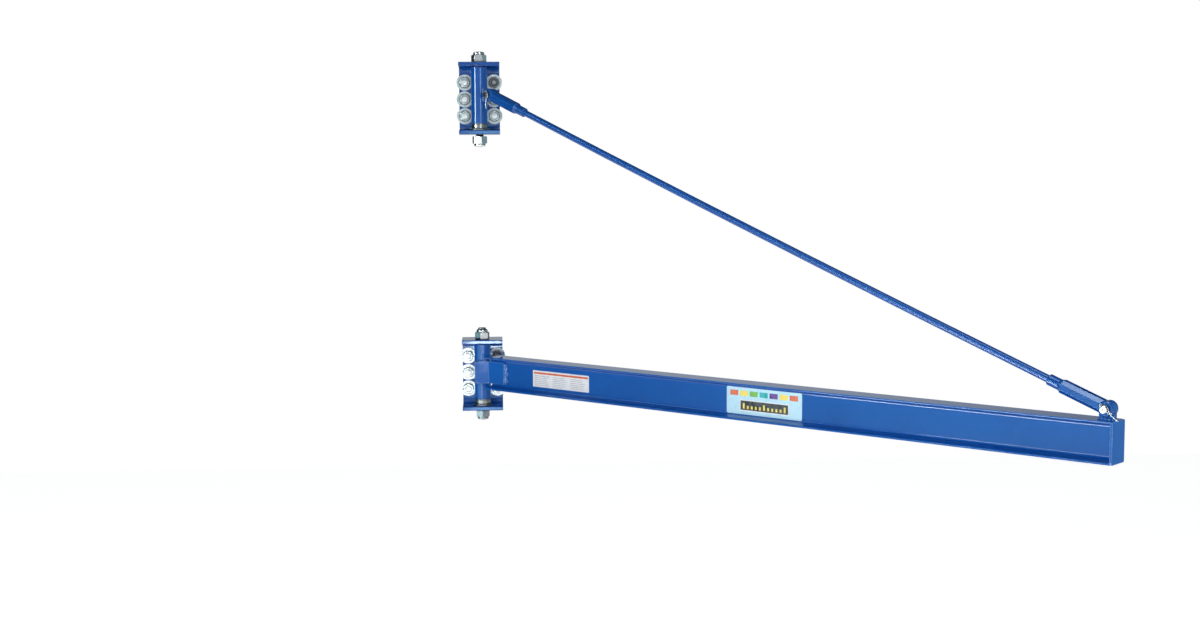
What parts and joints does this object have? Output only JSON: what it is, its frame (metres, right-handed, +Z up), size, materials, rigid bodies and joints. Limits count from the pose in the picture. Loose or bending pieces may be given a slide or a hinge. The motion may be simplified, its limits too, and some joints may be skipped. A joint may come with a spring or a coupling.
{
  "type": "wall-mounted tie-rod jib crane",
  "caption": "Wall-mounted jib crane: a rolled steel beam held level by a tie rod, swinging on sleeved pivots in bolted wall brackets, for a hoist trolley.",
  "frame": {"origin": "middle of the lower bracket's wall face", "axes": "+Z up along the pivot line, +Y into the wall, +X to the right as seen from the room"},
  "size_m": [1.5725, 1.5772, 1.1513],
  "materials": {
    "bracket_paint": "gloss blue enamel on formed plate",
    "jib_paint": "gloss blue enamel on rolled and welded steel",
    "rod_paint": "gloss blue enamel on round bar and forgings",
    "zinc_plate": "bright zinc plate",
    "bearing_steel": "ground steel",
    "bushing_bronze": "plain bronze"
  },
  "bodies": {
    "wall_brackets": {"lower_bracket": "bracket_paint", "lower_wall_washers": "zinc_plate", "lower_wall_nuts": "zinc_plate", "lower_pivot_bolt": "zinc_plate", "lower_pivot_top_nut": "zinc_plate", "lower_pivot_bottom_nut": "zinc_plate", "lower_thrust_washer": "zinc_plate", "lower_top_shim": "zinc_plate", "lower_thrust_bearing": "bearing_steel", "upper_bracket": "bracket_paint", "upper_wall_washers": "zinc_plate", "upper_wall_nuts": "zinc_plate", "upper_pivot_bolt": "zinc_plate", "upper_pivot_top_nut": "zinc_plate", "upper_pivot_bottom_nut": "zinc_plate", "upper_thrust_washer": "zinc_plate", "upper_top_shim": "zinc_plate", "upper_thrust_bearing": "bearing_steel"},
    "jib": {"lower_sleeve": "jib_paint", "lower_bottom_bushing": "bushing_bronze", "lower_top_bushing": "bushing_bronze", "upper_sleeve": "jib_paint", "upper_bottom_bushing": "bushing_bronze", "upper_top_bushing": "bushing_bronze", "beam": "jib_paint", "beam_end_plate": "jib_paint", "near_wing_plate": "jib_paint", "far_wing_plate": "jib_paint", "upper_lug": "jib_paint", "beam_lug": "jib_paint", "tie_rod": "rod_paint", "upper_clevis": "rod_paint", "lower_clevis": "rod_paint", "upper_clevis_pin": "zinc_plate", "lower_clevis_pin": "zinc_plate"}
  },
  "joints": [
    {"name": "jib_swing", "type": "hinge", "parent": "wall_brackets", "child": "jib", "pos_m": [0, -0.0762, 0], "axis": [0, 0, 1], "range_deg": [-135, 45]}
  ]
}
